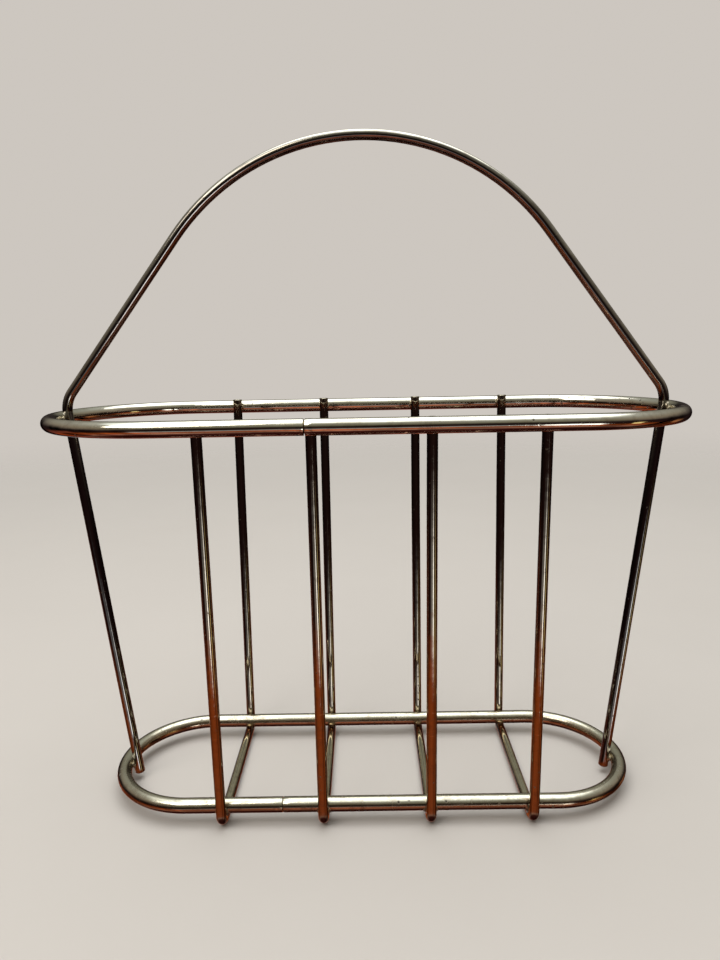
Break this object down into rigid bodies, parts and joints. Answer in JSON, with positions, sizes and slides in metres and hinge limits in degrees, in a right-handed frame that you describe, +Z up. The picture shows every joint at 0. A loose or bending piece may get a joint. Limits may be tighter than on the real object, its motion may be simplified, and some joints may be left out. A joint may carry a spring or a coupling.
{
  "type": "magazine rack",
  "caption": "Free-standing wire magazine rack: two long oval rims, upright rod hoops that pass under the lower rim as floor bars, and an arched carrying handle.",
  "frame": {"origin": "on the floor, under the middle of the two rims and of the whole outline", "axes": "+Z up, +X along the rack's long side to the right, +Y from the front to the back"},
  "size_m": [0.406, 0.164, 0.4239],
  "materials": {
    "aged_brass_tube": "aged brass, rubbed bright on top, brown tarnish below, fine scratches and dark spots",
    "aged_brass_rod": "aged brass with dark brown tarnish and thin bright rubbed streaks",
    "braze_filler": "dull, slightly rough",
    "brass_plug": "plain turned bar, hidden"
  },
  "bodies": {
    "root": {"top_rim": "aged_brass_tube", "base_rim": "aged_brass_tube", "hoop_left_outer": "aged_brass_rod", "hoop_left_inner": "aged_brass_rod", "hoop_right_inner": "aged_brass_rod", "hoop_right_outer": "aged_brass_rod", "handle_frame": "aged_brass_rod", "braze_top_front": "braze_filler", "braze_top_rear": "braze_filler", "braze_base_front": "braze_filler", "braze_base_rear": "braze_filler", "braze_handle_top": "braze_filler", "braze_handle_base": "braze_filler", "top_rim_spigot": "brass_plug", "base_rim_spigot": "brass_plug"}
  },
  "joints": []
}
